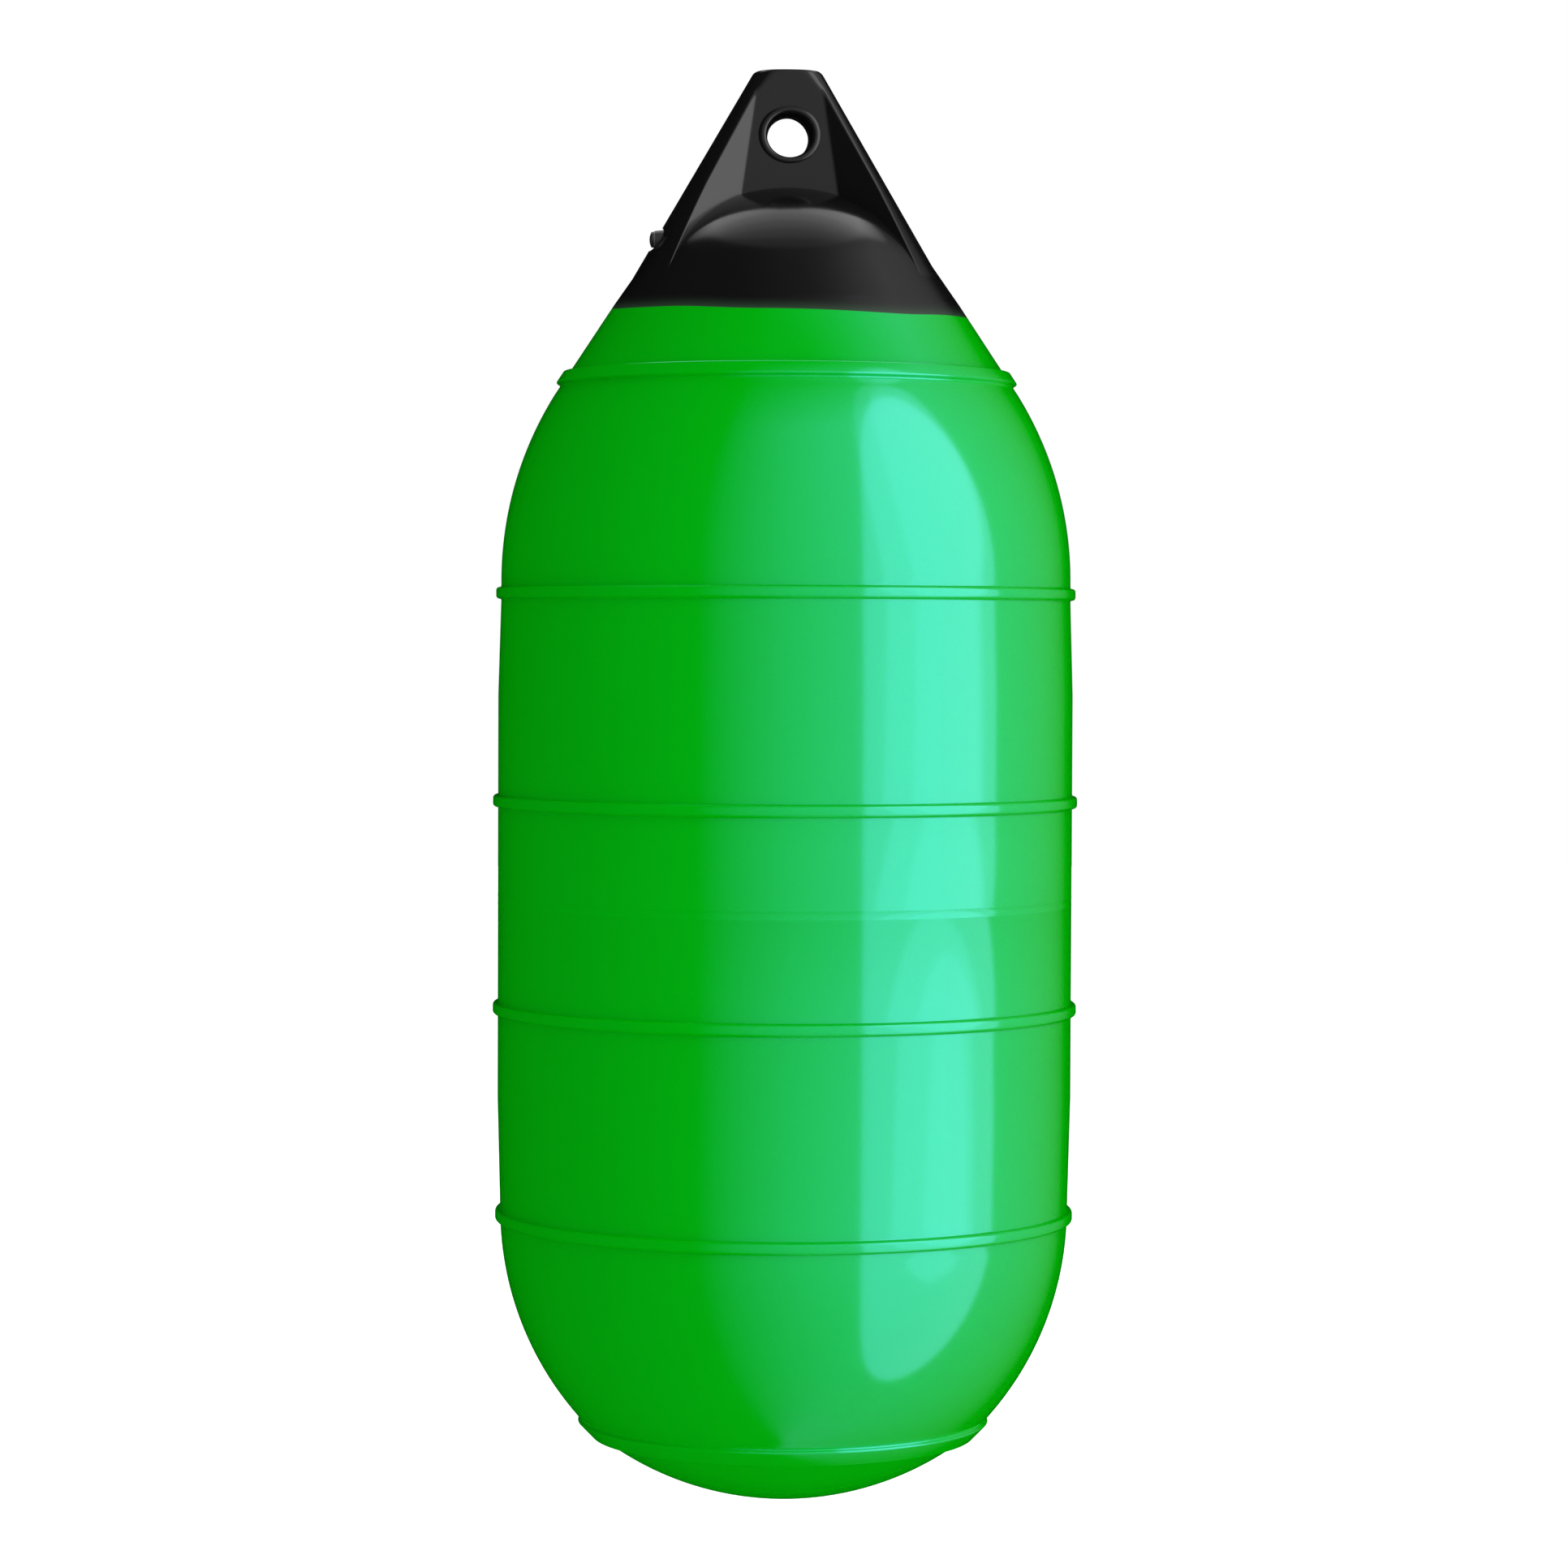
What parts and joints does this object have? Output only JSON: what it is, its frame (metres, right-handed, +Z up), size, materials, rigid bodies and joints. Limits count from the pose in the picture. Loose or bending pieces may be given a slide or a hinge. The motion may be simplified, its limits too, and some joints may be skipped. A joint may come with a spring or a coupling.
{
  "type": "inflatable low drag buoy",
  "caption": "Upright inflatable vinyl buoy: long ribbed hull with rounded ends under a solid black rope-eye top, with a screw valve for its air.",
  "frame": {"origin": "centre of the rope eye, on the buoy's axis", "axes": "+Z up the buoy's axis from foot to lug, Y along the rope eye's bore, the valve on the -X side"},
  "size_m": [0.3594, 0.3592, 0.8768],
  "materials": {
    "hull_vinyl": "gloss vinyl, saturated green",
    "ropehold_vinyl": "gloss vinyl, black",
    "seat_plastic": "satin hard plastic, dark grey",
    "washer_nylon": "natural nylon",
    "screw_plastic": "satin hard plastic, near black"
  },
  "bodies": {
    "buoy": {"hull": "hull_vinyl", "ropehold": "ropehold_vinyl", "valve_seat": "seat_plastic"},
    "washer": {"valve_washer": "washer_nylon"},
    "screw": {"valve_screw": "screw_plastic"}
  },
  "joints": [
    {"name": "valve_lift", "type": "slide", "parent": "buoy", "child": "washer", "axis": [-1, 0, 0], "range_m": [0, 0.008]},
    {"name": "valve_turn", "type": "hinge", "parent": "washer", "child": "screw", "pos_m": [-0.08096, 0, -0.0624], "axis": [-1, 0, 0], "range_deg": [0, 1440]}
  ],
  "couplings": [
    {"joint": "valve_turn", "follows": "valve_lift", "rad_per_m": 3141.6}
  ]
}
